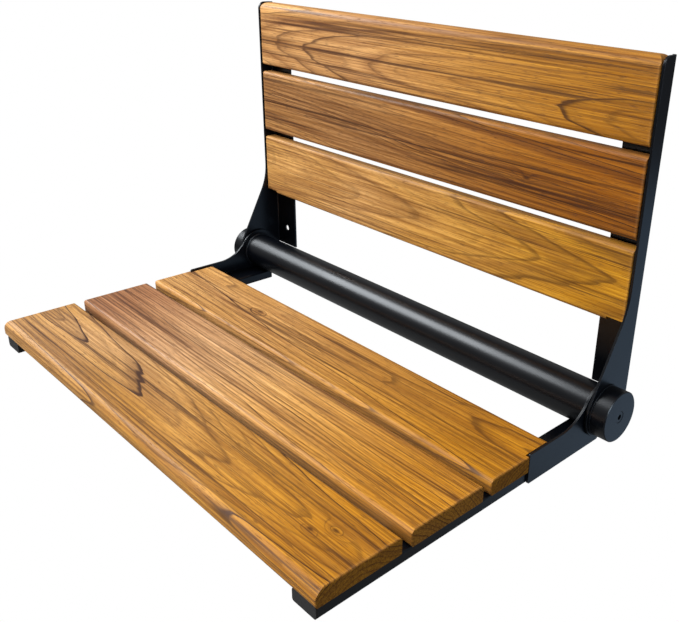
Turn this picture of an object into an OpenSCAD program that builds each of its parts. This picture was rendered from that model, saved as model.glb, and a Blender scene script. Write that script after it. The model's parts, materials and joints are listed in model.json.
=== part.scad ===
// Wall-mounted fold-down shower seat with a slatted backrest.
// Teak boards on powder-coated steel brackets, turning on a cross tube.
// Origin: on the wall face, at the centre of the four wall-fixing holes.
// +Z is up, the wall is the plane y = 0, and the seat reaches out along -Y.

/* [Boards] */
// length of all six boards, end to end
board_length = 610; // [520:10:700]
// thickness of all six boards
board_thickness = 18; // [16:0.5:20]
// width of each of the three seat boards, front to back
seat_board_width = 90; // [80:1:96]
// open gap between two seat boards
seat_board_gap = 10; // [6:0.5:12]
// height of each of the three backrest boards
back_board_width = 82; // [76:1:90]
// open gap between two backrest boards, wide enough for a driver to reach a wall screw
back_board_gap = 9; // [9:0.5:12]
// small round along the ordinary board edges
edge_round = 4.5; // [1:0.5:5]
// larger round along the seat's front edge and the backrest's top edge
nose_round = 10; // [6:0.5:11]
// round of the two top corners of the backrest, seen from the front
top_corner_round = 9; // [4:0.5:14]
// round where a board face meets its sawn end
end_round = 1.6; // [0.5:0.1:2.5]

/* [Seat frame] */
// distance from the hinge axis to the front edge of the seat boards
seat_reach = 370; // [350:1:390]
// how far the seat boards' top face lies below the hinge axis
seat_drop = 6; // [4:0.5:8]
// width of the flat bar under each end of the seat
bar_width = 30; // [28:1:36]
// height of that bar
bar_height = 13; // [11:0.5:14]
// wall thickness of that bar
bar_wall = 2; // [1.5:0.25:2.5]
// how far the bar stays back from the seat's front edge
bar_setback = 2; // [1:0.5:6]
// outside diameter of the cross tube
tube_diameter = 47.5; // [44:0.5:47.5]
// wall thickness of the cross tube
tube_wall = 2.5; // [2:0.25:3.5]
// how far each side plate runs forward from the hinge axis
side_plate_reach = 115; // [105:1:125]
// how far the side plates stand above the seat boards' top face
side_plate_rise = 2; // [0:0.5:3]
// radius of the hollow curve between a side plate and its round head
side_plate_sweep = 50; // [40:1:60]

/* [Wall brackets] */
// thickness of every steel plate
plate_thickness = 2.5; // [2:0.25:3.5]
// distance from the wall to the hinge axis
hub_out = 43; // [42:0.5:52]
// height of the bracket's top above the hinge axis
bracket_rise = 350; // [340:1:380]
// width of the flange that lies on the wall
flange_width = 43; // [40:1:50]
// distance from the wall to the bracket's straight front edge
bracket_depth = 20.5; // [19:0.5:24]
// height above the hinge axis where the bracket starts to widen towards the hub
flare_height = 106; // [100:1:115]
// radius of the hollow bend in the bracket's edge at that height
flare_round = 80; // [60:5:100]
// height of the flange's lower end above the hinge axis
flange_foot = 3; // [2:0.5:8]
// how far the flange's top end stays below the bracket's top
flange_head = 5; // [4:0.5:8]
// outside radius of the bend between flange and side
bend_radius = 4; // [3.75:0.25:5]
// radius of a wall-fixing hole
wall_hole_radius = 4.25; // [3:0.25:4.5]
// distance from the board's end line in to the wall-fixing holes
wall_hole_inset = 19; // [17:0.5:22]
// height of the lower wall-fixing holes above the hinge axis
wall_hole_foot = 29; // [27:0.5:34]

/* [Hub] */
// radius of the round heads of the side plates and brackets
hub_radius = 30; // [29:0.5:32]
// radius of the round cap over the hub
cap_radius = 27.5; // [26:0.5:29]
// thickness of that cap
cap_thickness = 17; // [12:0.5:18]
// radius of the hinge pin
pin_radius = 8; // [7:0.25:9]
// gap between a seat side plate and the bracket beside it
hub_gap = 1.5; // [1.5:0.25:3]
// radius of the head of the hub screw
hub_screw_head = 6.2; // [5:0.1:7]
// how far the seat folds up from level, in degrees
fold_angle = 90; // [80:1:90]

/* [Hidden] */
$fn = 96;
steel = [0.075, 0.08, 0.09];
plastic = [0.05, 0.05, 0.055];
teak = [0.69, 0.45, 0.2];
screw_steel = [0.62, 0.63, 0.65];

over = 1;
touch = 0.1;
bite = 0.05;
running = 0.05;
snug = 0.05;
free = 0.3;

end_x = board_length / 2;
plate_in = end_x - plate_thickness;
bracket_in = end_x + hub_gap;
bracket_out = bracket_in + plate_thickness;
cap_in = bracket_out + touch;
cap_ring = 1.9;

seat_top = -seat_drop;
seat_under = seat_top - board_thickness;
bar_under = seat_under - bar_height;
bar_front = -seat_reach + bar_setback;
bar_in = plate_in - bar_width;
bar_mid = plate_in - bar_width / 2;
bar_cap = 2;
bar_round = 2.5;
seat_pitch = seat_board_width + seat_board_gap;
back_pitch = back_board_width + back_board_gap;

tube_radius = tube_diameter / 2;
tube_bore = tube_radius - tube_wall;
plug_length = 20;
neck_radius = pin_radius + 4;

flange_front = hub_out - plate_thickness;
flange_in = bracket_out - flange_width;
bracket_front = hub_out - bracket_depth;
flange_mid = (flange_in + bracket_in) / 2;
wall_hole_x = end_x - wall_hole_inset;
wall_hole_head = bracket_rise - back_board_width / 2;
hub_drop = (wall_hole_foot + wall_hole_head) / 2;

head_bite = hub_radius - bite;
flare_long = sqrt(pow(bracket_front, 2) + pow(flare_height, 2));
flare_turn = atan2(bracket_front, flare_height) + asin(head_bite / flare_long);
flare_run = flare_round * tan(flare_turn / 2);
flare_y = bracket_front - flare_round;
flare_z = flare_height + flare_run;
heel_y = hub_out - bend_radius;
heel_long = sqrt(pow(heel_y, 2) + pow(flange_foot, 2));
heel_turn = atan2(flange_foot, heel_y) - acos(hub_radius / heel_long);

plate_top = seat_top + side_plate_rise;
hollow_z = plate_top + side_plate_sweep;
hollow_y = -sqrt(pow(head_bite + side_plate_sweep, 2) - pow(hollow_z, 2));
hollow_part = (hub_radius - over) / (hub_radius + side_plate_sweep);
toe_turn = acos(hub_radius / -bar_under) - 90;

stop_radius = 2.5;
stop_orbit = 21.5;
stop_turn = fold_angle / 2;
board_screw = 2;
board_screw_spread = 20;
board_screw_depth = 12;
screw_head = 4;

// ---------- shared shapes ----------

// moves a shape drawn round the hinge axis to its place on the wall
module at_hub() {
    translate([0, -hub_out, -hub_drop]) children();
}

// the left-hand twin of a right-hand piece
module twin() {
    mirror([1, 0, 0]) children();
}

// stands a side view (y, z) up and gives it a thickness along X
module side_view(start, thickness) {
    translate([start, 0, 0]) rotate([90, 0, 90]) linear_extrude(height = thickness) children();
}

// a round along X
module rod(start, length, radius) {
    translate([start, 0, 0]) rotate([0, 90, 0]) cylinder(h = length, r = radius);
}

// a ring along X
module tube(start, length, outer, inner) {
    difference() {
        rod(start, length, outer);
        rod(start - over, length + 2 * over, inner);
    }
}

// the sliver that turns one square corner into a round one
module corner_waste(radius) {
    difference() {
        translate([-over, -over]) square(radius + over);
        translate([radius, radius]) circle(radius);
    }
}

// a rectangle from the origin with its own round at each corner
module soft_rectangle(wide, high, low_left, low_right, high_right, high_left) {
    difference() {
        square([wide, high]);
        corner_waste(low_left);
        translate([wide, 0]) mirror([1, 0]) corner_waste(low_right);
        translate([wide, high]) rotate(180) corner_waste(high_right);
        translate([0, high]) mirror([0, 1]) corner_waste(high_left);
    }
}

// one board: X along the grain, y = 0 the front edge, z = 0 the show face
module board(width, front_round, rear_round, corner_round) {
    intersection() {
        translate([-end_x, 0, -board_thickness]) rotate([90, 0, 90])
            linear_extrude(height = board_length)
                soft_rectangle(width, board_thickness, edge_round, edge_round, rear_round, front_round);
        translate([-end_x, width + over, -board_thickness]) rotate([90, 0, 0])
            linear_extrude(height = width + 2 * over)
                soft_rectangle(board_length, board_thickness, end_round, end_round, end_round, end_round);
        translate([-end_x, 0, -board_thickness - over])
            linear_extrude(height = board_thickness + 2 * over)
                soft_rectangle(board_length, width, end_round, end_round, corner_round, corner_round);
    }
}

// four pilot holes in a board's hidden face
module pilot_holes(width, across) {
    for (side = [-1, 1], step = [-1, 1])
        translate([side * across, width / 2 + step * board_screw_spread, -board_thickness - over])
            cylinder(h = board_screw_depth + over, r = board_screw + touch, $fn = 32);
}

// ---------- backrest, fixed to the wall ----------

module bracket_side() {
    difference() {
        union() {
            difference() {
                polygon([
                    [-head_bite * cos(flare_turn), head_bite * sin(flare_turn)],
                    [bracket_front - flare_run * sin(flare_turn), flare_height - flare_run * cos(flare_turn)],
                    [bracket_front - plate_thickness, flare_height],
                    [bracket_front, flare_z],
                    [bracket_front, bracket_rise],
                    [heel_y, bracket_rise],
                    [heel_y, flange_foot],
                    [head_bite * cos(heel_turn), head_bite * sin(heel_turn)],
                    [0, 0]
                ]);
                translate([flare_y, flare_z]) circle(flare_round, $fn = 180);
                translate([bracket_front, bracket_rise]) mirror([0, 1]) corner_waste(2 * edge_round);
            }
            circle(hub_radius);
        }
        circle(pin_radius + snug);
        stop_slot();
    }
}

// the curved slot that the stop pin runs in, from level to folded
module stop_slot() {
    reach = 2 * hub_radius;
    half_width = stop_radius + free;
    half_turn = stop_turn + asin(half_width / stop_orbit);
    intersection() {
        difference() {
            circle(stop_orbit + half_width);
            circle(stop_orbit - half_width);
        }
        polygon([
            [0, 0],
            [-reach * cos(half_turn), -reach * sin(half_turn)],
            [-2 * reach, 0],
            [-reach * cos(half_turn), reach * sin(half_turn)]
        ]);
    }
}

// plan of the wall flange and its bend into the side
module flange_plan() {
    translate([flange_in, flange_front]) square([bracket_out - bend_radius - flange_in, plate_thickness]);
    translate([bracket_out - bend_radius, hub_out - bend_radius]) intersection() {
        difference() {
            circle(bend_radius, $fn = 48);
            circle(bend_radius - plate_thickness, $fn = 48);
        }
        square(bend_radius);
    }
}

module back_bracket() {
    color(steel) at_hub() difference() {
        union() {
            side_view(bracket_in, plate_thickness) bracket_side();
            translate([0, 0, flange_foot]) linear_extrude(height = bracket_rise - flange_foot) flange_plan();
        }
        for (height = [wall_hole_foot, wall_hole_head])
            translate([wall_hole_x, hub_out + over, height]) rotate([90, 0, 0])
                cylinder(h = plate_thickness + 2 * over, r = wall_hole_radius);
        translate([flange_in - over, flange_front - over, bracket_rise - flange_head])
            cube([bracket_in - flange_in - over, plate_thickness + 2 * over, flange_head + over]);
        back_screw_places() translate([0, 0, -over])
            cylinder(h = plate_thickness + 2 * over, r = board_screw + touch, $fn = 32);
        back_screw_places() translate([0, 0, -over])
            cylinder(h = screw_head - board_screw + over, r1 = screw_head + touch + over, r2 = board_screw + touch, $fn = 32);
    }
}

// the six places on one bracket where a screw enters a backrest board, pointing forward
module back_screw_places() {
    for (level = [1, 2, 3], step = [-1, 1])
        translate([flange_mid, hub_out, board_foot(level) + back_board_width / 2 + step * board_screw_spread])
            rotate([90, 0, 0]) children();
}

// height of a backrest board's lower edge above the hinge axis, counted from the top
function board_foot(level) = bracket_rise - level * back_board_width - (level - 1) * back_board_gap;

module back_screws() {
    color(screw_steel) at_hub() back_screw_places() {
        cylinder(h = screw_head - board_screw, r1 = screw_head, r2 = board_screw, $fn = 32);
        cylinder(h = plate_thickness + board_screw_depth - touch, r = board_screw, $fn = 32);
    }
}

module back_board(level, top_edge, corner) {
    color(teak) at_hub() translate([0, flange_front - board_thickness, board_foot(level)])
        rotate([90, 0, 0]) difference() {
            board(back_board_width, edge_round, top_edge, corner);
            pilot_holes(back_board_width, flange_mid);
        }
}

// the bottom board's lower corners are notched over the brackets
module back_board_bottom() {
    notch = [21, 4.5];
    color(teak) difference() {
        back_board(3, edge_round, end_round);
        at_hub() for (side = [-1, 1])
            translate([side * end_x - notch[0], flange_front - board_thickness - over, board_foot(3) - notch[1]])
                cube([2 * notch[0], board_thickness + 2 * over, 2 * notch[1]]);
    }
}

// ---------- hub, fixed to the brackets ----------

module hinge_pin() {
    start = end_x - plug_length;
    color(screw_steel) at_hub() difference() {
        rod(start, cap_in + cap_ring - start, pin_radius);
        rod(start + 8, cap_in + cap_ring - start, 3 + snug);
    }
}

module friction_washer() {
    color(plastic) at_hub() tube(end_x + free, hub_gap - free - touch, stop_orbit - 2 * stop_radius, pin_radius + snug);
}

module hub_ring() {
    color(steel) at_hub() tube(cap_in, cap_ring, cap_radius + 0.8, pin_radius + snug);
}

module hub_cap() {
    start = cap_in + cap_ring + touch;
    soft = 0.8;
    color(steel) at_hub() difference() {
        union() {
            rod(start, cap_thickness - soft, cap_radius);
            translate([start + cap_thickness - soft, 0, 0]) rotate([0, 90, 0])
                cylinder(h = soft, r1 = cap_radius, r2 = cap_radius - soft);
        }
        rod(start - over, cap_thickness + 2 * over, 3 + free);
        rod(start + cap_thickness - 5.2, 5.2 + over, hub_screw_head + free);
    }
}

module hub_screw() {
    face = cap_in + cap_ring + touch + cap_thickness - 0.3;
    head = 4.8;
    color(steel) at_hub() difference() {
        union() {
            rod(face - head, head, hub_screw_head);
            rod(end_x - plug_length + 9, face - head + touch - (end_x - plug_length + 9), 3);
        }
        rod(face - 2.8, 2.8 + over, 3.2, $fn = 6);
    }
}

// ---------- seat frame, turns on the hinge ----------

module cross_tube() {
    color(steel) at_hub() tube(-plate_in, 2 * plate_in, tube_radius, tube_bore);
}

// the collar has a flat underneath, where it meets the seat bar
module tube_collar() {
    wide = 2.6;
    color(steel) at_hub() difference() {
        tube(plate_in - wide, wide, tube_radius + 1.6, tube_radius + snug);
        translate([plate_in - wide - over, -tube_radius, seat_under - tube_radius])
            cube([wide + 2 * over, tube_diameter, tube_radius + snug]);
    }
}

module side_plate_view() {
    nose = 2;
    difference() {
        union() {
            difference() {
                polygon([
                    [-side_plate_reach, bar_under],
                    [0, bar_under],
                    [head_bite * cos(toe_turn), head_bite * sin(toe_turn)],
                    [0, 0],
                    [hollow_y * hollow_part, hollow_z * hollow_part],
                    [hollow_y, plate_top],
                    [-side_plate_reach, plate_top]
                ]);
                translate([hollow_y, hollow_z]) circle(side_plate_sweep, $fn = 120);
                translate([-side_plate_reach, bar_under]) corner_waste(nose);
                translate([-side_plate_reach, plate_top]) mirror([0, 1]) corner_waste(nose);
            }
            circle(hub_radius);
        }
        circle(neck_radius);
        rotate(stop_turn) translate([-stop_orbit, 0]) circle(stop_radius + snug, $fn = 48);
    }
}

module side_plate() {
    color(steel) at_hub() side_view(plate_in, plate_thickness) side_plate_view();
}

module stop_pin() {
    color(screw_steel) at_hub() rotate([stop_turn, 0, 0]) translate([0, -stop_orbit, 0])
        rod(plate_in, bracket_out - plate_in - 2 * touch, stop_radius, $fn = 48);
}

module hinge_bush() {
    color(plastic) at_hub() difference() {
        union() {
            rod(plate_in - plug_length, plug_length, tube_bore - touch);
            rod(plate_in - over, plate_thickness + over, neck_radius - snug);
        }
        rod(plate_in - plug_length - over, plug_length + plate_thickness + 2 * over, pin_radius + running);
    }
}

// section of the seat bar, its outside or its inside
module bar_section(inset) {
    translate([bar_in + inset, bar_under + inset])
        soft_rectangle(bar_width - 2 * inset, bar_height - 2 * inset,
            bar_round - inset / 2, bar_round - inset / 2, bar_round - inset / 2, bar_round - inset / 2);
}

module seat_bar() {
    color(steel) at_hub() difference() {
        translate([0, -bar_cap, 0]) rotate([90, 0, 0])
            linear_extrude(height = -bar_front - 2 * bar_cap) difference() {
                bar_section(0);
                bar_section(bar_wall);
            }
        seat_screw_places() cylinder(h = 2 * bar_height, r = board_screw + touch, $fn = 32);
    }
}

// a plug with a flange, closing one end of the seat bar
module bar_plug() {
    rotate([90, 0, 0]) linear_extrude(height = bar_cap) bar_section(0);
    rotate([90, 0, 0]) translate([0, 0, -4 * bar_cap])
        linear_extrude(height = 4 * bar_cap + touch) bar_section(bar_wall + snug);
}

module bar_front_cap() {
    color(plastic) at_hub() translate([0, bar_front + bar_cap, 0]) bar_plug();
}

module bar_rear_cap() {
    color(plastic) at_hub() translate([0, -bar_cap, 0]) mirror([0, 1, 0]) bar_plug();
}

// the six places under one seat bar where a screw enters a seat board, pointing up
module seat_screw_places() {
    for (row = [0, 1, 2], step = [-1, 1])
        translate([bar_mid, row * seat_pitch - seat_reach + seat_board_width / 2 + step * board_screw_spread, bar_under - over])
            children();
}

module seat_screws() {
    color(screw_steel) at_hub() seat_screw_places() {
        translate([0, 0, over]) cylinder(h = bar_height + board_screw_depth - touch, r = board_screw, $fn = 32);
        translate([0, 0, over - 1.2]) cylinder(h = 1.2, r = screw_head, $fn = 32);
        translate([0, 0, over - 2.4]) cylinder(h = 1.2, r1 = screw_head - 1.2, r2 = screw_head, $fn = 32);
    }
}

module seat_board(row, front_edge) {
    color(teak) at_hub() translate([0, row * seat_pitch - seat_reach, seat_top]) difference() {
        board(seat_board_width, front_edge, edge_round, end_round);
        pilot_holes(seat_board_width, bar_mid);
    }
}

// the rear board is notched at both ends to clear the side plates
module seat_board_rear() {
    start = seat_reach - 2 * seat_pitch - side_plate_reach - over;
    color(teak) difference() {
        seat_board(2, edge_round);
        at_hub() translate([0, 2 * seat_pitch - seat_reach + start, seat_under - over])
            for (side = [-1, 1])
                translate([side * end_x - 5, 0, 0]) cube([10, seat_board_width, board_thickness + 2 * over]);
    }
}

twin() back_bracket();  // left_back_bracket
back_bracket();  // right_back_bracket
back_board(1, nose_round, top_corner_round);  // back_board_top
back_board(2, edge_round, end_round);  // back_board_middle
back_board_bottom();
twin() back_screws();  // left_back_screws
back_screws();  // right_back_screws
twin() hinge_pin();  // left_hinge_pin
hinge_pin();  // right_hinge_pin
twin() friction_washer();  // left_friction_washer
friction_washer();  // right_friction_washer
twin() hub_ring();  // left_hub_ring
hub_ring();  // right_hub_ring
twin() hub_cap();  // left_hub_cap
hub_cap();  // right_hub_cap
twin() hub_screw();  // left_hub_screw
hub_screw();  // right_hub_screw
cross_tube();
twin() tube_collar();  // left_tube_collar
tube_collar();  // right_tube_collar
twin() side_plate();  // left_side_plate
side_plate();  // right_side_plate
twin() stop_pin();  // left_stop_pin
stop_pin();  // right_stop_pin
twin() hinge_bush();  // left_hinge_bush
hinge_bush();  // right_hinge_bush
twin() seat_bar();  // left_seat_bar
seat_bar();  // right_seat_bar
twin() bar_front_cap();  // left_bar_front_cap
bar_front_cap();  // right_bar_front_cap
twin() bar_rear_cap();  // left_bar_rear_cap
bar_rear_cap();  // right_bar_rear_cap
seat_board(0, nose_round);  // seat_board_front
seat_board(1, edge_round);  // seat_board_middle
seat_board_rear();
twin() seat_screws();  // left_seat_screws
seat_screws();  // right_seat_screws
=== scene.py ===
# %% [markdown]
# # A fold-down teak shower seat
# The seat hangs on a wall by two bent steel brackets. Three teak boards make the seat, three more
# make the backrest, and a cross tube carries the hinge. The steel and the boards come from the
# exact model. This lesson gives them their finishes, adds the small workshop details that the
# exact model leaves out, and sets up the stage, the light and the camera.

# %% The exact model
import json
import math

import bpy
from mathutils import Matrix, Vector

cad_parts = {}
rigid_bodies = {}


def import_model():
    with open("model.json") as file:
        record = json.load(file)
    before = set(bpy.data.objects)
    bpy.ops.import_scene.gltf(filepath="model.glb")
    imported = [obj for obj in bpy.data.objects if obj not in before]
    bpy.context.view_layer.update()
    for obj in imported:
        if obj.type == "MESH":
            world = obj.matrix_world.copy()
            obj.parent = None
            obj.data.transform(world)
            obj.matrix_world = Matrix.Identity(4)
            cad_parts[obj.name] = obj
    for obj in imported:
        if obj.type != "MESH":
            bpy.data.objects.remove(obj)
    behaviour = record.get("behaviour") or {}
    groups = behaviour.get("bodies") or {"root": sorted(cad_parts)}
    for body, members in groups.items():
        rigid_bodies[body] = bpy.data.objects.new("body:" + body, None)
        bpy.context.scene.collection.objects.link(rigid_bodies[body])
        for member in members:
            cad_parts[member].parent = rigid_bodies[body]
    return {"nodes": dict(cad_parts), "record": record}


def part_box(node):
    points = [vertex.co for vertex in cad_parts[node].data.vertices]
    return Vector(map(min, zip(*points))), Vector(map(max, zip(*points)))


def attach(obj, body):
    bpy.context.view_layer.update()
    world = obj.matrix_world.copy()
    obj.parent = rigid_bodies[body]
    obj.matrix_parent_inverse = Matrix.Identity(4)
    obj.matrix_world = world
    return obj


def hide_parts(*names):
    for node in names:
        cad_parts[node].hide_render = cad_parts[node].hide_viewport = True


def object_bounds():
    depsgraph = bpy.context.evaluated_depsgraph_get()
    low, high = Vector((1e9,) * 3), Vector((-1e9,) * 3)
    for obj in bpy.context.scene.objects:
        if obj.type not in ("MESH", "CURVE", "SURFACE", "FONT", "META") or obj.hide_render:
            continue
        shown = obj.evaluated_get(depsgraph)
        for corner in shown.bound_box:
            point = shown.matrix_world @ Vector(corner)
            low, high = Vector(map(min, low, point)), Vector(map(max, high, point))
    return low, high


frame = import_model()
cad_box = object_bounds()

nodes = frame["nodes"]
MM = 0.001
print("nodes", len(nodes), "box", [tuple(round(v, 4) for v in corner) for corner in cad_box])

# %% [markdown]
# ## A short hand for shader nodes
# A wood or paint finish is a chain of small sums. Wiring each node by hand takes four lines, so
# this step makes a bench of helpers: each one adds a node, sets it, plugs in what it is given,
# and hands back the node's output, ready for the next sum.

# %% Bench of helpers for shader nodes
def put(tree, kind, inputs=(), **settings):
    """Adds a node, sets its fields, and plugs in or types in each input by place or name."""
    made = tree.nodes.new(kind)
    for field, value in settings.items():
        setattr(made, field, value)
    for place, value in (inputs.items() if isinstance(inputs, dict) else enumerate(inputs)):
        if isinstance(value, bpy.types.NodeSocket):
            tree.links.new(value, made.inputs[place])
        else:
            made.inputs[place].default_value = value
    return made


def sum_of(tree, operation, *values, clamp=False):
    """One sum on plain numbers."""
    return put(tree, "ShaderNodeMath", values, operation=operation, use_clamp=clamp).outputs[0]


def vector_sum(tree, operation, *values):
    """One sum on vectors."""
    return put(tree, "ShaderNodeVectorMath", values, operation=operation).outputs[0]


def blend_colour(tree, amount, low, high, way="MIX"):
    """Mixes two colours by an amount."""
    made = put(tree, "ShaderNodeMix", data_type="RGBA", blend_type=way)
    for socket, value in ((made.inputs[0], amount), (made.inputs[6], low), (made.inputs[7], high)):
        if isinstance(value, bpy.types.NodeSocket):
            tree.links.new(value, socket)
        else:
            socket.default_value = value
    return made.outputs[2]


def ramp(tree, amount, stops):
    """A ramp of greys, given as (place, grey) pairs."""
    made = put(tree, "ShaderNodeValToRGB", (amount,))
    band = made.color_ramp
    while len(band.elements) < len(stops):
        band.elements.new(0.5)
    for element, (place, grey) in zip(band.elements, stops):
        element.position = place
        element.color = (grey, grey, grey, 1)
    return made.outputs[0]


def noise(tree, vector, scale=1.0, detail=2.0, roughness=0.5, field="Fac"):
    """Soft noise at a place."""
    inputs = {"Vector": vector, "Scale": scale, "Detail": detail, "Roughness": roughness}
    made = put(tree, "ShaderNodeTexNoise", inputs)
    return made.outputs[field]


print("bench ready")

# %% [markdown]
# ## Teak grain
# A board is a slice of a log, so its figure is the log's rings cut by a flat face. The honest way
# to draw it is to keep the log: work out how far each point is from the heart, divide by the
# width of a ring, and darken the end of each ring, where the late wood is. Cut almost along the
# log, the same rings give the pointed arches of flat-sawn teak, and on the sawn ends they give
# arcs, with no second pattern. A flat picture of grain would be easier, but it would not run on
# round an edge. The sums are kept in one node group, and each board gets its own log by the
# group's inputs. The first cell holds sizes and colours. A stretch says how many waves of noise
# there are in a metre along the board, across it and through it.

# %% Sizes and colours of the grain
STRETCH_WANDER = (1.7, 8.0, 8.0)
STRETCH_SWAY = (4.5, 34.0, 34.0)
STRETCH_RIPPLE = (11.0, 120.0, 120.0)
STRETCH_STREAK = (2.2, 120.0, 120.0)
STRETCH_FIBRE = (3.6, 420.0, 420.0)
STRETCH_HAIR = (3.0, 300.0, 300.0)
STRETCH_THREAD = (13.0, 1100.0, 1100.0)
STRETCH_PORE = (70.0, 1300.0, 1300.0)
STRETCH_PATCH = (3.0, 10.0, 10.0)
STRETCH_WEAR = (20.0, 20.0, 20.0)
SWAY_SIZE = 9.0 * MM
RIPPLE_SIZE = 1.6 * MM
EDGE_BAND = 4 * MM

TEAK_PALE = (0.640, 0.335, 0.118, 1)
TEAK_GOLD = (0.520, 0.222, 0.014, 1)
TEAK_BROWN = (0.235, 0.092, 0.026, 1)
TEAK_LATE = (0.060, 0.020, 0.007, 1)
TEAK_PORE = (0.080, 0.028, 0.008, 1)
TEAK_KNOT = (0.060, 0.020, 0.006, 1)
TEAK_END = (0.88, 0.95, 1.70, 1)
print("finest thread", round(1 / STRETCH_THREAD[1] / MM, 1), "mm across")

# %% What the teak group asks for and gives back
VECTOR, NUMBER, COLOUR = "NodeSocketVector", "NodeSocketFloat", "NodeSocketColor"
NO_KNOT = (9.0, 0.0, 0.01)
TEAK_ASKS = (
    ("Place", VECTOR, (0.0, 0.0, 0.0)),
    ("Heart", VECTOR, (0.0, 0.0, -0.05)),
    ("Lean", VECTOR, (0.0, 0.0, 0.05)),
    ("Ring", NUMBER, 0.005),
    ("Wander", NUMBER, 0.02),
    ("Seed", NUMBER, 0.0),
    ("Late", NUMBER, 0.8),
    ("Mellow", NUMBER, 0.5),
    ("Brown", NUMBER, 0.6),
    ("Veins", NUMBER, 0.5),
    # the board's own tone; on some boards it is raised and made bluer, which paints a whitish sheen
    ("Tone And Sheen", COLOUR, (1, 1, 1, 1)),
    ("Dusk", COLOUR, (1, 1, 1, 1)),
    ("Glow", COLOUR, (1, 1, 1, 1)),
    ("Knot A", VECTOR, NO_KNOT),
    ("Knot B", VECTOR, NO_KNOT),
    ("Half Size", VECTOR, (0.305, 0.045, 0.018)),
    ("End Face", NUMBER, 0.0),
)
TEAK_GIVES = (("Color", COLOUR), ("Roughness", NUMBER), ("Height", NUMBER))
teak_group = bpy.data.node_groups.new("teak grain", "ShaderNodeTree")
for name, kind, value in TEAK_ASKS:
    teak_group.interface.new_socket(name, in_out="INPUT", socket_type=kind).default_value = value
for name, kind in TEAK_GIVES:
    teak_group.interface.new_socket(name, in_out="OUTPUT", socket_type=kind)
given = teak_group.nodes.new("NodeGroupInput").outputs
along, across, _ = put(teak_group, "ShaderNodeSeparateXYZ", (given["Place"],)).outputs
print("the group asks for", len(TEAK_ASKS), "things and gives", len(TEAK_GIVES))

# %% [markdown]
# ## Step 1: where a point lies in the log
# Noise depends only on place, so every board would get the same noise at the same spot. A seed
# moves the place far off for each board. Then three sizes of noise bend the log: a slow wander, a
# middling sway and a small ripple. The lean tips the log, and taking away the heart's place leaves
# how far the point is from the heart, sideways and upwards.

# %% Place in the log
SEED_STEPS = (1.7, 3.1, 5.3)
shift = put(teak_group, "ShaderNodeCombineXYZ", [
    sum_of(teak_group, "MULTIPLY", given["Seed"], step) for step in SEED_STEPS]).outputs[0]
seeded = vector_sum(teak_group, "ADD", given["Place"], shift)


def teak_noise(stretch, detail=2.0, roughness=0.5, field="Fac"):
    """Noise stretched along the board, a different piece of it for each seed."""
    return noise(teak_group, vector_sum(teak_group, "MULTIPLY", seeded, stretch),
                 detail=detail, roughness=roughness, field=field)


def drift(stretch, size, detail=2.0):
    """A sideways push that comes and goes along the board."""
    push = vector_sum(teak_group, "SUBTRACT", teak_noise(stretch, detail, field="Color"), (0.5, 0.5, 0.5))
    return put(teak_group, "ShaderNodeVectorMath", {0: push, "Scale": size}, operation="SCALE").outputs[0]


small_drift = vector_sum(
    teak_group, "ADD", drift(STRETCH_SWAY, SWAY_SIZE), drift(STRETCH_RIPPLE, RIPPLE_SIZE))
drifted = vector_sum(teak_group, "ADD", drift(STRETCH_WANDER, given["Wander"], detail=1.5), small_drift)
three_along = put(teak_group, "ShaderNodeCombineXYZ", (along, along, along)).outputs[0]
leaned = vector_sum(teak_group, "MULTIPLY", given["Lean"], three_along)
bent = vector_sum(teak_group, "ADD", given["Place"], vector_sum(teak_group, "ADD", drifted, leaned))
from_heart = vector_sum(teak_group, "SUBTRACT", bent, given["Heart"])
_, side, rise = put(teak_group, "ShaderNodeSeparateXYZ", (from_heart,)).outputs
print("nodes so far", len(teak_group.nodes))

# %% [markdown]
# ## Step 2: knots
# A knot is the foot of a branch. The rings swell up round it, and its core is nearly black. So a
# soft hump is added to the rise near the knot, about twice as long as it is wide, and the ramp
# keeps the middle of the hump as the core.

# %% Knots
KNOT_LENGTH = 2.1
KNOT_SWELL = 1.5
CORE_RAMP = ((0.0, 1.0), (0.05, 0.75), (0.16, 0.12), (0.5, 0.0))


def knot_bump(name):
    """How high the rings swell at a point, and how much of it is the knot's core."""
    knot_x, knot_y, size = put(teak_group, "ShaderNodeSeparateXYZ", (given[name],)).outputs
    off_x = sum_of(teak_group, "DIVIDE", sum_of(teak_group, "SUBTRACT", along, knot_x),
                   sum_of(teak_group, "MULTIPLY", size, KNOT_LENGTH))
    off_y = sum_of(teak_group, "DIVIDE", sum_of(teak_group, "SUBTRACT", across, knot_y), size)
    near = sum_of(teak_group, "ADD",
                  sum_of(teak_group, "POWER", sum_of(teak_group, "ABSOLUTE", off_x), 2.0),
                  sum_of(teak_group, "POWER", sum_of(teak_group, "ABSOLUTE", off_y), 2.0))
    swell = sum_of(teak_group, "EXPONENT", sum_of(teak_group, "MULTIPLY", near, -1.0))
    height = sum_of(teak_group, "MULTIPLY", swell, sum_of(teak_group, "MULTIPLY", size, KNOT_SWELL))
    return height, ramp(teak_group, near, CORE_RAMP)


swell_a, core_a = knot_bump("Knot A")
swell_b, core_b = knot_bump("Knot B")
rise = sum_of(teak_group, "ADD", sum_of(teak_group, "ADD", rise, swell_a), swell_b)
knot_core = sum_of(teak_group, "MAXIMUM", core_a, core_b)
print("nodes so far", len(teak_group.nodes))

# %% [markdown]
# ## Step 3: rings
# The distance from the heart, counted in ring widths, has a whole part, which names the ring, and
# a fraction, which says how far through its year the wood is. The ramp draws a thin dark line
# late in the year. No two years are alike, so white noise on the ring's name makes some lines
# faint and some strong, and slower noise over several rings makes broad brown bands.

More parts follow.
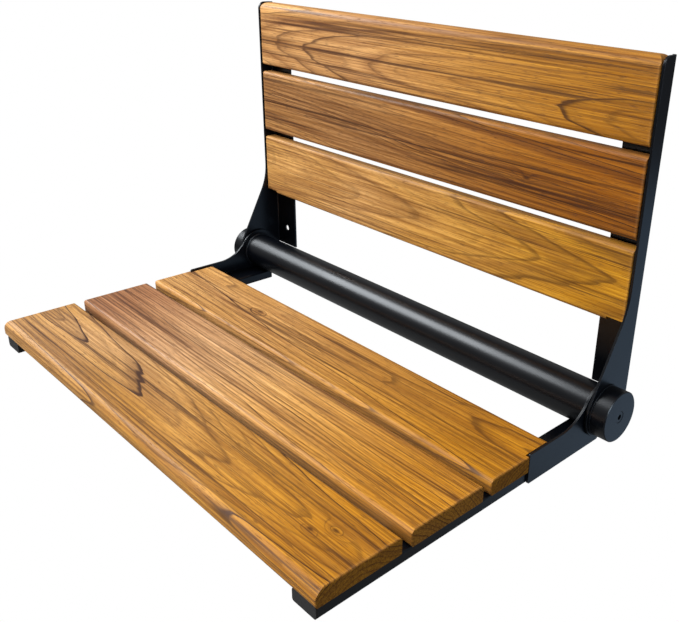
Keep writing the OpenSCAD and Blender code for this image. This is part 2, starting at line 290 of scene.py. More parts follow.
# %% Rings
LATE_RAMP = ((0.0, 0.35), (0.05, 0.0), (0.45, 0.04), (0.80, 0.28), (0.91, 1.0), (0.97, 1.0), (1.0, 0.35))
FAINTEST_LINE, LUCK_POWER = 0.22, 1.2
BAND_WAVES, BAND_RAMP = 0.23, ((0.40, 0.0), (0.68, 1.0))

radius = sum_of(teak_group, "SQRT", sum_of(
    teak_group, "ADD", sum_of(teak_group, "MULTIPLY", side, side), sum_of(teak_group, "MULTIPLY", rise, rise)))
rings = sum_of(teak_group, "DIVIDE", radius, given["Ring"])
in_ring = sum_of(teak_group, "FRACT", rings)
ring_name = sum_of(teak_group, "ADD", sum_of(teak_group, "FLOOR", rings),
                   sum_of(teak_group, "MULTIPLY", given["Seed"], 13.0))
luck = put(teak_group, "ShaderNodeTexWhiteNoise", {"W": ring_name}, noise_dimensions="1D").outputs[0]
strength = sum_of(teak_group, "ADD", FAINTEST_LINE, sum_of(teak_group, "POWER", luck, LUCK_POWER))
late = sum_of(teak_group, "MULTIPLY", ramp(teak_group, in_ring, LATE_RAMP), strength)
band_place = sum_of(teak_group, "ADD", sum_of(teak_group, "MULTIPLY", rings, BAND_WAVES),
                    sum_of(teak_group, "MULTIPLY", given["Seed"], 7.0))
band_noise = put(
    teak_group, "ShaderNodeTexNoise", {"W": band_place, "Scale": 1.0, "Detail": 3.0, "Roughness": 0.62},
    noise_dimensions="1D").outputs["Fac"]
band = ramp(teak_group, band_noise, BAND_RAMP)
print("nodes so far", len(teak_group.nodes))

# %% [markdown]
# ## Step 4: streaks, fibres and pores
# Teak also has marks that follow the fibres and not the rings: long oily streaks, dark veins,
# hair lines, pale patches, the fibres themselves, and the open pores that a finger can feel. Each
# is a noise with its own stretch and its own ramp. A sawn end cuts all of these across, so streaks,
# veins and hair lines fade out there and leave the rings.

# %% Marks along the grain
along_grain = sum_of(teak_group, "SUBTRACT", 1.0, given["End Face"])
vein_noise = teak_noise(STRETCH_STREAK, detail=3.5, roughness=0.62)
streak = ramp(teak_group, vein_noise, ((0.42, 0.0), (0.68, 1.0)))
streak = sum_of(teak_group, "MULTIPLY", streak, along_grain)
vein = ramp(teak_group, vein_noise, ((0.59, 0.0), (0.66, 1.0)))
vein = sum_of(teak_group, "MULTIPLY", vein, along_grain)
patch = ramp(teak_group, teak_noise(STRETCH_PATCH), ((0.36, 0.0), (0.66, 1.0)))
coarse = ramp(teak_group, teak_noise(STRETCH_FIBRE, roughness=0.6), ((0.30, 0.0), (0.62, 1.0)))
thread = ramp(teak_group, teak_noise(STRETCH_THREAD), ((0.30, 0.0), (0.64, 1.0)))
fibre = sum_of(teak_group, "ADD", sum_of(teak_group, "MULTIPLY", coarse, 0.55),
               sum_of(teak_group, "MULTIPLY", thread, 0.45))
pore = ramp(teak_group, teak_noise(STRETCH_PORE, detail=1.0), ((0.60, 0.0), (0.70, 1.0)))
hair = ramp(teak_group, teak_noise(STRETCH_HAIR, detail=2.5, roughness=0.6), ((0.56, 0.0), (0.59, 1.0)))
hair_strength = sum_of(teak_group, "ADD", 0.38, sum_of(teak_group, "MULTIPLY", streak, 0.55))
hair = sum_of(teak_group, "MULTIPLY", hair, hair_strength)
hair = sum_of(teak_group, "MULTIPLY", hair, along_grain)
print("nodes so far", len(teak_group.nodes))

# %% [markdown]
# ## Step 5: the wood's colour
# The colours are laid on in the order in which the eye reads them: pale or golden ground, brown
# bands and streaks, dark lines, fibres, pores and knots. Two soft slopes along the board tint it:
# deeper gold towards +X and, on some boards, duller towards the other end.
# A per-board tone multiplies it all; on some boards it is raised and made bluer, which paints a whitish sheen.

# %% Colour of the show faces
ALONG_SLOPE = 1.6
slope = sum_of(teak_group, "MULTIPLY", along, ALONG_SLOPE)
near_end = ramp(teak_group, sum_of(teak_group, "ADD", slope, 0.5), ((0.35, 0.0), (0.90, 1.0)))
far_end = ramp(teak_group, sum_of(teak_group, "SUBTRACT", 0.5, slope), ((0.45, 0.0), (0.92, 1.0)))
golden = sum_of(teak_group, "MAXIMUM", sum_of(teak_group, "MULTIPLY", patch, given["Mellow"]),
                sum_of(teak_group, "MULTIPLY", near_end, 0.9))
colour = blend_colour(teak_group, golden, TEAK_PALE, TEAK_GOLD)
brown = sum_of(teak_group, "ADD", sum_of(teak_group, "MULTIPLY", band, given["Brown"]),
               sum_of(teak_group, "MULTIPLY", streak, 0.42), clamp=True)
colour = blend_colour(teak_group, brown, colour, TEAK_BROWN)
line = sum_of(teak_group, "MULTIPLY", late, given["Late"], clamp=True)
line = sum_of(teak_group, "MAXIMUM", line, sum_of(teak_group, "MULTIPLY", vein, given["Veins"]))
line = sum_of(teak_group, "MAXIMUM", line, hair)
colour = blend_colour(teak_group, line, colour, TEAK_LATE)
shade = sum_of(teak_group, "ADD", 0.45, sum_of(teak_group, "MULTIPLY", fibre, 0.84))
warm_shade = put(teak_group, "ShaderNodeCombineXYZ", (
    shade, sum_of(teak_group, "POWER", shade, 1.25), sum_of(teak_group, "POWER", shade, 1.6))).outputs[0]
colour = blend_colour(teak_group, 1.0, colour, warm_shade, "MULTIPLY")
colour = blend_colour(teak_group, sum_of(teak_group, "MULTIPLY", pore, 0.62), colour, TEAK_PORE)
colour = blend_colour(teak_group, sum_of(teak_group, "MULTIPLY", knot_core, 0.85), colour, TEAK_KNOT)
# multiply by the board's tone, which on some boards also paints a whitish sheen
colour = blend_colour(teak_group, 1.0, colour, given["Tone And Sheen"], "MULTIPLY")
# tinted deeper gold towards +X, and duller towards -X on some boards
colour = blend_colour(teak_group, near_end, colour, given["Glow"], "MULTIPLY")
colour = blend_colour(teak_group, far_end, colour, given["Dusk"], "MULTIPLY")
print("nodes so far", len(teak_group.nodes))

# %% [markdown]
# ## Step 6: edges, sawn ends, gloss and relief
# Hands and water wear the oil off a board's edges first, so a band a few millimetres wide turns
# paler in patches. The sawn ends are greyer. Fibres and pores are slightly rougher than the wood
# between them, and the pores are pits, so the same marks also drive the gloss and the bump.

# %% Edges, ends, gloss and relief
half_x, half_y, _ = put(teak_group, "ShaderNodeSeparateXYZ", (given["Half Size"],)).outputs
to_end = sum_of(teak_group, "SUBTRACT", half_x, sum_of(teak_group, "ABSOLUTE", along))
to_side = sum_of(teak_group, "SUBTRACT", half_y, sum_of(teak_group, "ABSOLUTE", across))
to_edge = sum_of(teak_group, "DIVIDE", sum_of(teak_group, "MINIMUM", to_end, to_side), EDGE_BAND)
edge = sum_of(teak_group, "SUBTRACT", 1.0, to_edge, clamp=True)
edge = sum_of(teak_group, "MULTIPLY", edge, along_grain)
worn = sum_of(teak_group, "MULTIPLY", edge, teak_noise(STRETCH_WEAR, detail=3.0))
colour = blend_colour(teak_group, sum_of(teak_group, "MULTIPLY", worn, 0.35), colour, TEAK_PALE)
sawn = blend_colour(teak_group, 1.0, colour, TEAK_END, "MULTIPLY")
colour = blend_colour(teak_group, given["End Face"], colour, sawn)

rough = sum_of(teak_group, "ADD", 0.40, sum_of(teak_group, "MULTIPLY", fibre, 0.16))
rough = sum_of(teak_group, "ADD", rough, sum_of(teak_group, "MULTIPLY", pore, 0.15))
rough = sum_of(teak_group, "ADD", rough, sum_of(teak_group, "MULTIPLY", given["End Face"], 0.22), clamp=True)
relief = sum_of(teak_group, "SUBTRACT", sum_of(teak_group, "MULTIPLY", fibre, 0.35),
                sum_of(teak_group, "MULTIPLY", pore, 0.9))
relief = sum_of(teak_group, "ADD", relief, sum_of(teak_group, "MULTIPLY", late, 0.35))
back = teak_group.nodes.new("NodeGroupOutput")
for name, value in (("Color", colour), ("Roughness", rough), ("Height", relief)):
    teak_group.links.new(value, back.inputs[name])
print("teak group", len(teak_group.nodes), "nodes")

# %% [markdown]
# ## One log for each board
# No two boards of a real seat match. Each board's finish starts from the board's own middle, with
# X along the grain and Z out of the show face, so the backrest boards are first turned a quarter
# turn. Then it says where the heart of its log lies, how much the log leans, how wide its rings
# are, and where its knots are. The wood is oiled, not varnished, so its gloss is low, and the
# fibres stand up by a fraction of a millimetre.

# %% A board's finish
QUARTER = math.pi / 2
WOOD_SPECULAR = 0.24
GRAIN_RELIEF = 0.25 * MM
GRAIN_STRENGTH = 0.35


# the tone also paints a whitish sheen on some boards
def teak(board, heart, lean, ring, wander, knots=(), glow=(1.0, 0.9, 0.42), tone_and_sheen=(1, 1, 1),
         dusk=(1, 1, 1), **amounts):
    """Finishes one board. Heart, ring, wander and knots are in millimetres."""
    low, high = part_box(board)
    upright = board.startswith("back")
    middle, half = (low + high) / 2, (high - low) / 2
    face = Vector((middle.x, low.y, middle.z)) if upright else Vector((middle.x, middle.y, high.z))
    material = bpy.data.materials.new("teak " + board.replace("_", " "))
    material.use_nodes = True
    tree = material.node_tree
    shader = tree.nodes["Principled BSDF"]
    where = tree.nodes.new("ShaderNodeTexCoord")
    from_face = vector_sum(tree, "SUBTRACT", where.outputs["Object"], tuple(face))
    quarter_turn = (-QUARTER if upright else 0.0, 0, 0)
    turned = put(tree, "ShaderNodeMapping", {"Vector": from_face, "Rotation": quarter_turn})
    normal_x = put(tree, "ShaderNodeSeparateXYZ", (where.outputs["Normal"],)).outputs[0]
    end_face = ramp(tree, sum_of(tree, "ABSOLUTE", normal_x), ((0.75, 0.0), (0.95, 1.0)))
    grain = put(tree, "ShaderNodeGroup", node_tree=teak_group)
    values = {
        "Heart": (0.0, *[v * MM for v in heart]),
        "Lean": (0.0, *lean),
        "Ring": ring * MM,
        "Wander": wander * MM,
        "Tone And Sheen": (*tone_and_sheen, 1),
        "Dusk": (*dusk, 1),
        "Glow": (*glow, 1),
        "Half Size": (half.x, half.z if upright else half.y, half.y),
    }
    for name, knot in zip(("Knot A", "Knot B"), knots):
        values[name] = tuple(v * MM for v in knot)
    for name, amount in amounts.items():
        values[name.title()] = amount
    for name, value in values.items():
        grain.inputs[name].default_value = value
    tree.links.new(turned.outputs[0], grain.inputs["Place"])
    tree.links.new(end_face, grain.inputs["End Face"])
    tree.links.new(grain.outputs["Color"], shader.inputs["Base Color"])
    tree.links.new(grain.outputs["Roughness"], shader.inputs["Roughness"])
    bump = put(tree, "ShaderNodeBump", {
        "Strength": GRAIN_STRENGTH, "Distance": GRAIN_RELIEF, "Height": grain.outputs["Height"]})
    tree.links.new(bump.outputs[0], shader.inputs["Normal"])
    shader.inputs["Specular IOR Level"].default_value = WOOD_SPECULAR
    nodes[board].data.materials.clear()
    nodes[board].data.materials.append(material)
    print(board, "ring", ring, "mm, heart", heart)


print("grain stands up by", GRAIN_RELIEF / MM, "mm at most")

# %% The three seat boards
teak("seat_board_front", heart=(16, -34), lean=(0.03, 0.060), ring=4.6, wander=40, seed=1.0, late=1.0,
     mellow=0.8, brown=0.55, veins=0.8, tone_and_sheen=(0.92, 0.96, 1.02), glow=(1.24, 1.12, 0.44),
     knots=((262, 10, 6), (246, -4, 5)))
# its tone paints a strong bluish-white sheen over the whole board
teak("seat_board_middle", heart=(-62, -58), lean=(0.015, 0.020), ring=3.3, wander=14, seed=2.3, late=0.85,
     mellow=0.15, brown=0.45, veins=0.6, tone_and_sheen=(1.38, 1.62, 2.30), dusk=(0.46, 0.34, 0.30),
     glow=(0.86, 0.70, 0.30))
# its tone paints a faint whitish sheen
teak("seat_board_rear", heart=(30, -64), lean=(0.05, -0.03), ring=4.0, wander=15, seed=3.7, late=0.95,
     mellow=0.50, brown=0.50, veins=0.75, tone_and_sheen=(1.10, 1.14, 1.12), glow=(0.94, 0.84, 0.32),
     knots=((-128, 6, 7),))

# %% The three backrest boards
# its tone paints a faint whitish sheen
teak("back_board_top", heart=(-10, -44), lean=(0.03, -0.060), ring=4.4, wander=38, seed=4.2, late=1.0,
     mellow=0.50, brown=0.75, veins=0.75, tone_and_sheen=(1.14, 1.16, 1.18), glow=(0.84, 0.76, 0.28))
teak("back_board_middle", heart=(-95, -60), lean=(0.05, 0.02), ring=4.2, wander=12, seed=5.9, late=1.0,
     mellow=0.25, brown=0.85, veins=0.8, tone_and_sheen=(0.74, 0.70, 0.66), glow=(0.95, 0.75, 0.20),
     knots=((168, -8, 7),))
# its tone paints a faint whitish sheen
teak("back_board_bottom", heart=(10, -62), lean=(0.02, 0.080), ring=7.5, wander=42, seed=6.4, late=0.60,
     mellow=0.60, brown=0.85, veins=0.35, tone_and_sheen=(1.22, 1.32, 1.36), glow=(1.0, 0.96, 0.40))

# %% [markdown]
# ## Powder-coated steel, nylon and stainless steel
# The steel is dusted with dry paint and baked, which leaves a satin skin with a very fine orange
# peel. Two sizes of noise draw the peel and vary the gloss and the shade. Real plates never end in
# a perfect edge: the paint rounds over it and rubs thin there. The Bevel node finds those edges,
# both for the light they catch and for a paler edge colour, which is partly that wear and partly a
# painted highlight along the edge lines. The nylon caps and the stainless screws are made the same
# way, with their own colour, gloss and painted edge highlight.

# %% A plain finish with worn edges
CLOUD_SCALE, GRIT_SCALE = 14.0, 1400.0
PEEL_RELIEF = 0.05 * MM
DARKER, LIGHTER = 0.82, 1.22


def plain_finish(name, tint, edge_wear_and_highlight, rough, peel, specular=0.5, metal=0.0, edge=0.5):
    """A material of one tint, clouded, fine-grained, and paler along its edges, partly worn and partly a
    painted highlight. Edge is in millimetres.
    """
    material = bpy.data.materials.new(name)
    material.use_nodes = True
    tree = material.node_tree
    shader = tree.nodes["Principled BSDF"]
    where = tree.nodes.new("ShaderNodeTexCoord").outputs["Object"]
    cloud = noise(tree, where, scale=CLOUD_SCALE, detail=3.0)
    grit = noise(tree, where, scale=GRIT_SCALE, detail=2.0)
    rounded = put(tree, "ShaderNodeBevel", {"Radius": edge * MM}, samples=4).outputs[0]
    flat = tree.nodes.new("ShaderNodeNewGeometry").outputs["True Normal"]
    square = put(tree, "ShaderNodeVectorMath", (rounded, flat), operation="DOT_PRODUCT").outputs["Value"]
    # the edges found here get a paler colour below: partly wear, partly a painted highlight
    rubbed_and_highlit_edges = ramp(tree, square, ((0.80, 1.0), (0.985, 0.0)))
    rubbed_and_highlit_edges = sum_of(tree, "MULTIPLY", rubbed_and_highlit_edges, ramp(tree, cloud, ((0.30, 0.25), (0.70, 1.0))))
    dark, light = (tuple(change * c for c in tint) + (1,) for change in (DARKER, LIGHTER))
    body = blend_colour(tree, cloud, dark, light)
    # paler edges: partly wear, partly a painted highlight on the edge lines
    body = blend_colour(tree, rubbed_and_highlit_edges, body, edge_wear_and_highlight + (1,))
    tree.links.new(body, shader.inputs["Base Color"])
    gloss = sum_of(tree, "ADD", rough - 0.06, sum_of(tree, "MULTIPLY", cloud, 0.12))
    gloss = sum_of(tree, "ADD", gloss, sum_of(tree, "MULTIPLY", rubbed_and_highlit_edges, 0.08), clamp=True)
    tree.links.new(gloss, shader.inputs["Roughness"])
    bump = put(tree, "ShaderNodeBump", {
        "Strength": peel, "Distance": PEEL_RELIEF, "Height": grit, "Normal": rounded})
    tree.links.new(bump.outputs[0], shader.inputs["Normal"])
    shader.inputs["Specular IOR Level"].default_value = specular
    shader.inputs["Metallic"].default_value = metal
    print(name, "made")
    return material


print("paint's peel stands up by", PEEL_RELIEF / MM, "mm at most")

# %% Finishes for the metal and nylon parts
# each finish's second colour is its paler edge colour: partly wear, partly a painted highlight
powder = plain_finish(
    "black powder coat", (0.0012, 0.0019, 0.0036), (0.040, 0.050, 0.065), 0.30, 0.20, specular=0.40)
nylon = plain_finish("black nylon", (0.020, 0.020, 0.021), (0.05, 0.05, 0.05), 0.55, 0.25, specular=0.35)
stainless = plain_finish(
    "stainless steel", (0.50, 0.50, 0.50), (0.75, 0.75, 0.74), 0.30, 0.15, metal=1.0, edge=0.25)
FINISH = {"black_powder_coat": powder, "black_nylon": nylon, "stainless_fixings": stainless}
finished = 0
for part in frame["record"]["subparts"]:
    if part["material_slot"] in FINISH:
        mesh = nodes[part["node"]].data
        mesh.materials.clear()
        mesh.materials.append(FINISH[part["material_slot"]])
        finished += 1
print("metal and nylon parts finished:", finished)

# %% [markdown]
# ## Helpers for modelling
# A new piece starts as a primitive and is shaped in edit mode. An operator acts on whatever is
# selected, so these helpers clear the selection, pick faces by where they look, and finish a
# piece: its place goes into its mesh, its normals point out, and it rides on a body.

# %% Helpers for modelling
DOUBLES = 0.001 * MM
SMOOTH_BELOW = math.radians(35)


def alone(piece):
    """Makes one piece the only one selected, and the active one."""
    bpy.ops.object.select_all(action="DESELECT")
    piece.select_set(True)
    bpy.context.view_layer.objects.active = piece


def pick_faces(piece, wanted):
    """Selects the faces that the test wants, and nothing else. The piece stays in edit mode."""
    bpy.ops.object.mode_set(mode="EDIT")
    bpy.ops.mesh.select_mode(type="FACE")
    bpy.ops.mesh.select_all(action="DESELECT")
    bpy.ops.object.mode_set(mode="OBJECT")
    for each in piece.data.polygons:
        each.select = wanted(each)
    bpy.ops.object.mode_set(mode="EDIT")


def finish_piece(piece, material, body):
    """Puts a piece's place into its mesh, smooths it, and gives it its finish and its body."""
    alone(piece)
    bpy.ops.object.transform_apply(location=True, rotation=True, scale=True)
    bpy.ops.object.mode_set(mode="EDIT")
    bpy.ops.mesh.select_all(action="SELECT")
    bpy.ops.mesh.remove_doubles(threshold=DOUBLES)
    bpy.ops.mesh.normals_make_consistent(inside=False)
    bpy.ops.object.mode_set(mode="OBJECT")
    bpy.ops.object.shade_smooth_by_angle(angle=SMOOTH_BELOW)
    piece.data.materials.clear()
    piece.data.materials.append(material)
    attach(piece, body)
    print(piece.name, len(piece.data.polygons), "faces")


print("modelling helpers ready")

# %% [markdown]
# ## Board screws
# Twenty-four stainless screws hold the boards. Those behind the backrest have flat heads that sink
# into the flange, and those under the seat have low domed heads on the bar. The exact model has
# plain shanks. A real screw has a drive socket, a thread and a point, so one screw of each kind is
# drawn out of a short cylinder: its top face is extruded and scaled again and again, as on a
# lathe. A six-sided cutter makes the socket. Then the screw is copied to its six places.

# %% Sizes of a screw
SHANK_ROOT, SHANK_CREST = 1.5 * MM, 1.97 * MM
THREAD_PITCH, POINT_LENGTH, POINT_RADIUS = 1.1 * MM, 2.6 * MM, 0.2 * MM
SOCKET_RADIUS, SOCKET_DEPTH = 1.45 * MM, 1.4 * MM
SCREW_SIDES = 24
# radius and height of each step of a head, in millimetres
DOMED_HEAD = ((2.7, 0.15), (3.35, 0.55), (3.8, 1.15), (4.0, 1.9), (4.0, 2.4))
FLAT_HEAD = ((3.9, 0.1), (4.0, 0.2), (2.0, 2.0))


def shank_steps(head_height, plain_length, length):
    """The radius and height of each step of the plain neck, the thread and the point."""
    steps = [(SHANK_ROOT, head_height + 0.05 * MM), (SHANK_ROOT, plain_length)]
    height = plain_length
    while height < length - POINT_LENGTH - THREAD_PITCH:
        steps += [
            (SHANK_CREST, height + 0.45 * THREAD_PITCH),
            (SHANK_CREST, height + 0.55 * THREAD_PITCH),
            (SHANK_ROOT, height + THREAD_PITCH),
        ]
        height += THREAD_PITCH
    return steps + [(POINT_RADIUS, length)]


print("steps in a 20 mm screw", len(shank_steps(2 * MM, 4 * MM, 20 * MM)))

# %% One screw
def cut_socket(screw):
    """Cuts a six-sided drive socket into the head, which stands at the origin."""
    bpy.ops.object.select_all(action="DESELECT")
    bpy.ops.mesh.primitive_cylinder_add(
        vertices=6, radius=SOCKET_RADIUS, depth=2 * SOCKET_DEPTH, location=(0, 0, 0))
    cutter = bpy.context.object
    alone(screw)
    cut = screw.modifiers.new("socket", "BOOLEAN")
    cut.operation = "DIFFERENCE"
    cut.solver = "EXACT"
    cut.object = cutter
    bpy.ops.object.modifier_apply(modifier=cut.name)
    bpy.data.objects.remove(cutter, do_unlink=True)


def make_screw(name, head, length, plain_length):
    """Turns one screw, standing on its head at the origin."""
    (radius, height), *steps = [(r * MM, h * MM) for r, h in head]
    steps += shank_steps(steps[-1][1], plain_length, length)
    bpy.ops.object.select_all(action="DESELECT")
    bpy.ops.mesh.primitive_cylinder_add(
        vertices=SCREW_SIDES, radius=radius, depth=height, location=(0, 0, height / 2))
    screw = bpy.context.object
    screw.name = name
    bpy.ops.object.transform_apply(location=True)
    pick_faces(screw, lambda face: face.normal.z > 0.9)
    for next_radius, next_height in steps:
        bpy.ops.mesh.extrude_region_move(TRANSFORM_OT_translate={"value": (0, 0, next_height - height)})
        ratio = next_radius / radius
        bpy.ops.transform.resize(value=(ratio, ratio, 1), center_override=(0, 0, 0))
        radius, height = next_radius, next_height
    bpy.ops.object.mode_set(mode="OBJECT")
    cut_socket(screw)
    print(name, len(screw.data.polygons), "faces, length", round(length / MM, 1), "mm")
    return screw


# the seat's screws stand upright already, and the backrest's point away from the wall
low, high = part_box("left_seat_screws")
seat_screw = make_screw("seat screw", DOMED_HEAD, high.z - low.z, 14 * MM)
low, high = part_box("left_back_screws")
back_screw = make_screw("back screw", FLAT_HEAD, high.y - low.y, 3.5 * MM)
back_screw.rotation_euler = (QUARTER, 0, 0)

# %% The screws in their places
SCREW_SPREAD = 20 * MM


def copy_screws(pattern, name, places, body, replaced):
    """Puts a copy of a screw at each place, joins them, and lets them stand for a node."""
    copies = []
    for place in places:
        alone(pattern)
        bpy.ops.object.duplicate(linked=False)
        made = bpy.context.object
        made.location = place
        copies.append(made)
    alone(copies[0])
    for made in copies:
        made.select_set(True)
    bpy.ops.object.join()
    joined = bpy.context.object
    joined.name = name
    finish_piece(joined, stainless, body)
    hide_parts(replaced)


def board_middles(kind, rows):
    return [sum(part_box(kind + row), Vector()) / 2 for row in rows]


steps = (-SCREW_SPREAD, SCREW_SPREAD)
for side in ("left", "right"):
    low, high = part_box(side + "_seat_screws")
    bar_middle = (low.x + high.x) / 2
    boards = board_middles("seat_board_", ("front", "middle", "rear"))
    places = [(bar_middle, board.y + step, low.z) for board in boards for step in steps]
    copy_screws(seat_screw, side + "_seat_screw_set", places, "seat", side + "_seat_screws")
    low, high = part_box(side + "_back_screws")
    flange_middle = (low.x + high.x) / 2
    boards = board_middles("back_board_", ("top", "middle", "bottom"))
    places = [(flange_middle, high.y, board.z + step) for board in boards for step in steps]
    copy_screws(back_screw, side + "_back_screw_set", places, "wall_frame", side + "_back_screws")
for pattern in (seat_screw, back_screw):
    bpy.data.objects.remove(pattern, do_unlink=True)

# %% [markdown]
# ## Weld beads on the cross tube
# The tube's collar is welded to the tube, and a hand-laid weld is a row of small overlapping
# ripples under the paint. A thin ring sits in the corner between tube and collar, and every other
# slice of it is fattened a little, which gives the ripples.

# %% Weld beads
BEAD_RADIUS, BEAD_LIFT = 1.1 * MM, 0.2 * MM
RIPPLES, RIPPLE_HEIGHT = 96, 0.22 * MM
tube_low, tube_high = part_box("cross_tube")
tube_middle = (tube_low + tube_high) / 2
tube_radius = (tube_high.z - tube_low.z) / 2
for side in ("left", "right"):
    low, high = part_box(side + "_tube_collar")
    seam_x = high.x if side == "left" else low.x
    bpy.ops.object.select_all(action="DESELECT")
    bpy.ops.mesh.primitive_torus_add(
        major_segments=2 * RIPPLES, minor_segments=10, major_radius=tube_radius + BEAD_LIFT,
        minor_radius=BEAD_RADIUS, location=(seam_x, tube_middle.y, tube_middle.z), rotation=(0, QUARTER, 0))
    bead = bpy.context.object
    bead.name = side + "_tube_weld"
    bpy.ops.object.mode_set(mode="EDIT")
    bpy.ops.mesh.select_mode(type="VERT")
    bpy.ops.mesh.select_all(action="DESELECT")
    bpy.ops.object.mode_set(mode="OBJECT")
    for corner in bead.data.vertices:
        slice_number = round(math.atan2(corner.co.y, corner.co.x) / math.tau * 2 * RIPPLES)
        corner.select = slice_number % 2 == 0
    bpy.ops.object.mode_set(mode="EDIT")
    bpy.ops.transform.shrink_fatten(value=RIPPLE_HEIGHT)
    bpy.ops.object.mode_set(mode="OBJECT")
    finish_piece(bead, powder, "seat")

# %% [markdown]
# ## Stage
# The seat hangs free, as in a catalogue. A pale floor lies well below it, where its shadow turns
# soft, and a pale sky fills in from all round. Both are dimmer for the light that reaches the
# object than for the eye, because black steel shows everything round it: a dim room keeps it
# black while the background stays clean.

# %% Floor
FLOOR_SIZE, FLOOR_DROP = 60, 0.6
FLOOR_DARK, FLOOR_LIGHT = (0.20, 0.20, 0.20, 1), (0.23, 0.23, 0.23, 1)
low, high = cad_box
bpy.ops.object.select_all(action="DESELECT")
bpy.ops.mesh.primitive_plane_add(size=FLOOR_SIZE, location=(0, 0, low.z - FLOOR_DROP))
floor = bpy.context.object
floor.name = "floor"
paper = bpy.data.materials.new("pale floor")
paper.use_nodes = True
tree = paper.node_tree
shader = tree.nodes["Principled BSDF"]
speckle = noise(tree, tree.nodes.new("ShaderNodeTexCoord").outputs["Object"], scale=3.0)
tree.links.new(blend_colour(tree, speckle, FLOOR_DARK, FLOOR_LIGHT), shader.inputs["Base Color"])
shader.inputs["Roughness"].default_value = 0.9
glow = put(tree, "ShaderNodeEmission", {"Color": (1, 1, 1, 1), "Strength": 1.0})
seen = tree.nodes.new("ShaderNodeLightPath").outputs["Is Camera Ray"]
washed = put(tree, "ShaderNodeMixShader", (seen, shader.outputs[0], glow.outputs[0]))
tree.links.new(washed.outputs[0], tree.nodes["Material Output"].inputs["Surface"])
floor.data.materials.append(paper)
print("floor at", round(low.z - FLOOR_DROP, 3))

# %% Sky
SKY_STRENGTH = 0.25
sky = bpy.data.worlds.new("pale sky")
sky.use_nodes = True
tree = sky.node_tree
background = tree.nodes["Background"]
background.inputs["Color"].default_value = (1.0, 1.0, 1.0, 1)
seen = tree.nodes.new("ShaderNodeLightPath").outputs["Is Camera Ray"]
strength = sum_of(tree, "ADD", SKY_STRENGTH, sum_of(tree, "MULTIPLY", seen, 1.0 - SKY_STRENGTH))
tree.links.new(strength, background.inputs["Strength"])
bpy.context.scene.world = sky
bpy.context.scene.view_settings.view_transform = "Standard"
print("sky strength", SKY_STRENGTH)

# %% [markdown]
# ## Lamps
# Wood and black steel want different light. The boards take three soft lamps: from the left, from
# the front and from overhead. The steel takes its own: a long strip on the left, turned in line
# with the cross tube, draws the soft highlight along the tube, a small lamp on the right catches
# the edges, and a dim bluish panel below and behind shows in the outer faces of the brackets.
# Light linking gives each lamp its list of pieces, and no lamp is seen by the camera.

# %% What each lamp lights
steel_only = bpy.data.collections.new("black steel")
all_but_steel = bpy.data.collections.new("all but black steel")
for piece in list(bpy.data.objects):
    if piece.type == "MESH":
        is_steel = any(slot.material == powder for slot in piece.material_slots)
        (steel_only if is_steel else all_but_steel).objects.link(piece)


# %% Lamps
def lamp(name, place, aim, size, power, tint, lights_only, turn=0.0):
    """A soft rectangular lamp that looks at its aim. Size in metres, power in watts, turn in degrees."""
    light = bpy.data.lights.new(name, "AREA")
    light.shape = "RECTANGLE"
    light.size, light.size_y = size
    light.energy = power
    light.color = tint
    made = bpy.data.objects.new(name, light)
    bpy.context.collection.objects.link(made)
    made.location = place
    facing = (Vector(aim) - Vector(place)).to_track_quat("-Z", "Y").to_matrix().to_4x4()
    made.rotation_euler = (facing @ Matrix.Rotation(math.radians(turn), 4, "Z")).to_euler()
    made.light_linking.receiver_collection = lights_only
    made.visible_camera = False
    print(name, power, "W")


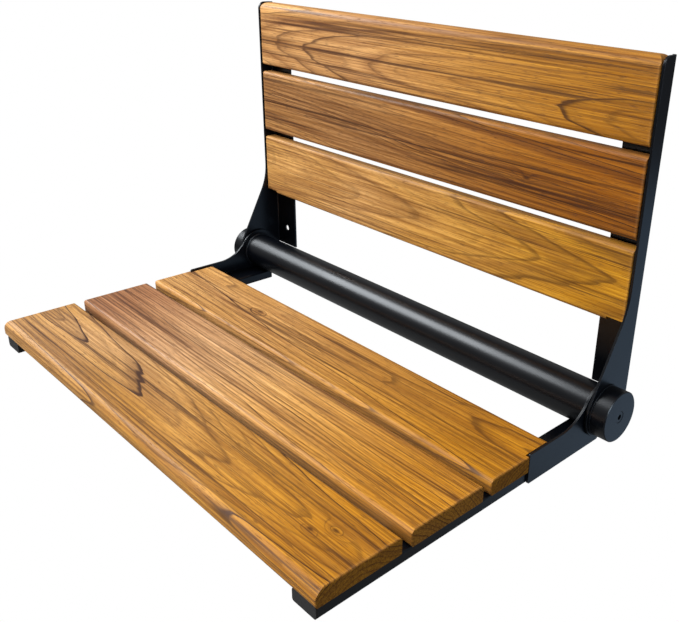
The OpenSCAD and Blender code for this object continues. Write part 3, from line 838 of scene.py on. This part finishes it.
WHITE = (1, 1, 1)
lamp("left lamp", (-1.60, -0.68, 1.05), (-0.1, -0.05, -0.17), (0.8, 0.5), 33, (0.93, 0.97, 1.0), all_but_steel)
lamp("front lamp", (-0.6, -2.3, 1.2), (0, -0.1, 0), (1.4, 1.2), 53, WHITE, all_but_steel)
lamp("overhead lamp", (0.3, -0.5, 2.0), (0.1, -0.3, -0.2), (1.3, 1.0), 17, WHITE, all_but_steel)
lamp("strip lamp", (-1.30, -0.73, 1.26), (0.0, -0.05, -0.17), (0.95, 1.15), 46, (0.90, 0.95, 1.0),
     steel_only, turn=-33)
lamp("side lamp", (2.0, -0.5, 0.5), (0.3, -0.1, -0.1), (0.8, 0.8), 20, (0.70, 0.85, 1.0), steel_only)
lamp("bounce lamp", (0.70, 0.64, -0.63), (0.31, -0.04, -0.10), (1.0, 1.0), 1.3, (0.40, 0.66, 1.0), steel_only)

# %% [markdown]
# ## Camera
# The seat is seen from the front right and above, from close by, so its near corner looms. The
# camera's place, turn and lens are plain numbers in the part's own frame. It is rolled by about
# two degrees, and its picture is shifted a little sideways, because the framing is off centre.
# The focal length and the centre are in the image's own steps, counted from its top left corner.

# %% Camera
IMAGE_WIDTH, IMAGE_HEIGHT = 679, 622
camera_place = Vector((0.68129, -0.69587, 0.27272))
azimuth, elevation, roll = (math.radians(a) for a in (44.51, 23.80, -1.91))
focal, centre_x, centre_y = 821.88, 420.0, 295.59
SENSOR_WIDTH = 36

level = math.cos(elevation)
ahead = Vector((-math.sin(azimuth) * level, math.cos(azimuth) * level, -math.sin(elevation)))
right = Vector((math.cos(azimuth), math.sin(azimuth), 0))
down = ahead.cross(right)
rolled_right = right * math.cos(roll) + down * math.sin(roll)
rolled_down = down * math.cos(roll) - right * math.sin(roll)
lens = bpy.data.cameras.new("camera")
lens.sensor_width = SENSOR_WIDTH
lens.lens = focal * SENSOR_WIDTH / IMAGE_WIDTH
lens.shift_x = (IMAGE_WIDTH / 2 - centre_x) / IMAGE_WIDTH
lens.shift_y = (centre_y - IMAGE_HEIGHT / 2) / IMAGE_WIDTH
camera = bpy.data.objects.new("camera", lens)
bpy.context.collection.objects.link(camera)
camera.matrix_world = Matrix((
    (rolled_right.x, -rolled_down.x, -ahead.x, camera_place.x),
    (rolled_right.y, -rolled_down.y, -ahead.y, camera_place.y),
    (rolled_right.z, -rolled_down.z, -ahead.z, camera_place.z),
    (0, 0, 0, 1),
))
bpy.context.scene.camera = camera
print("lens", round(lens.lens, 2), "mm, shift", round(lens.shift_x, 3), round(lens.shift_y, 3))
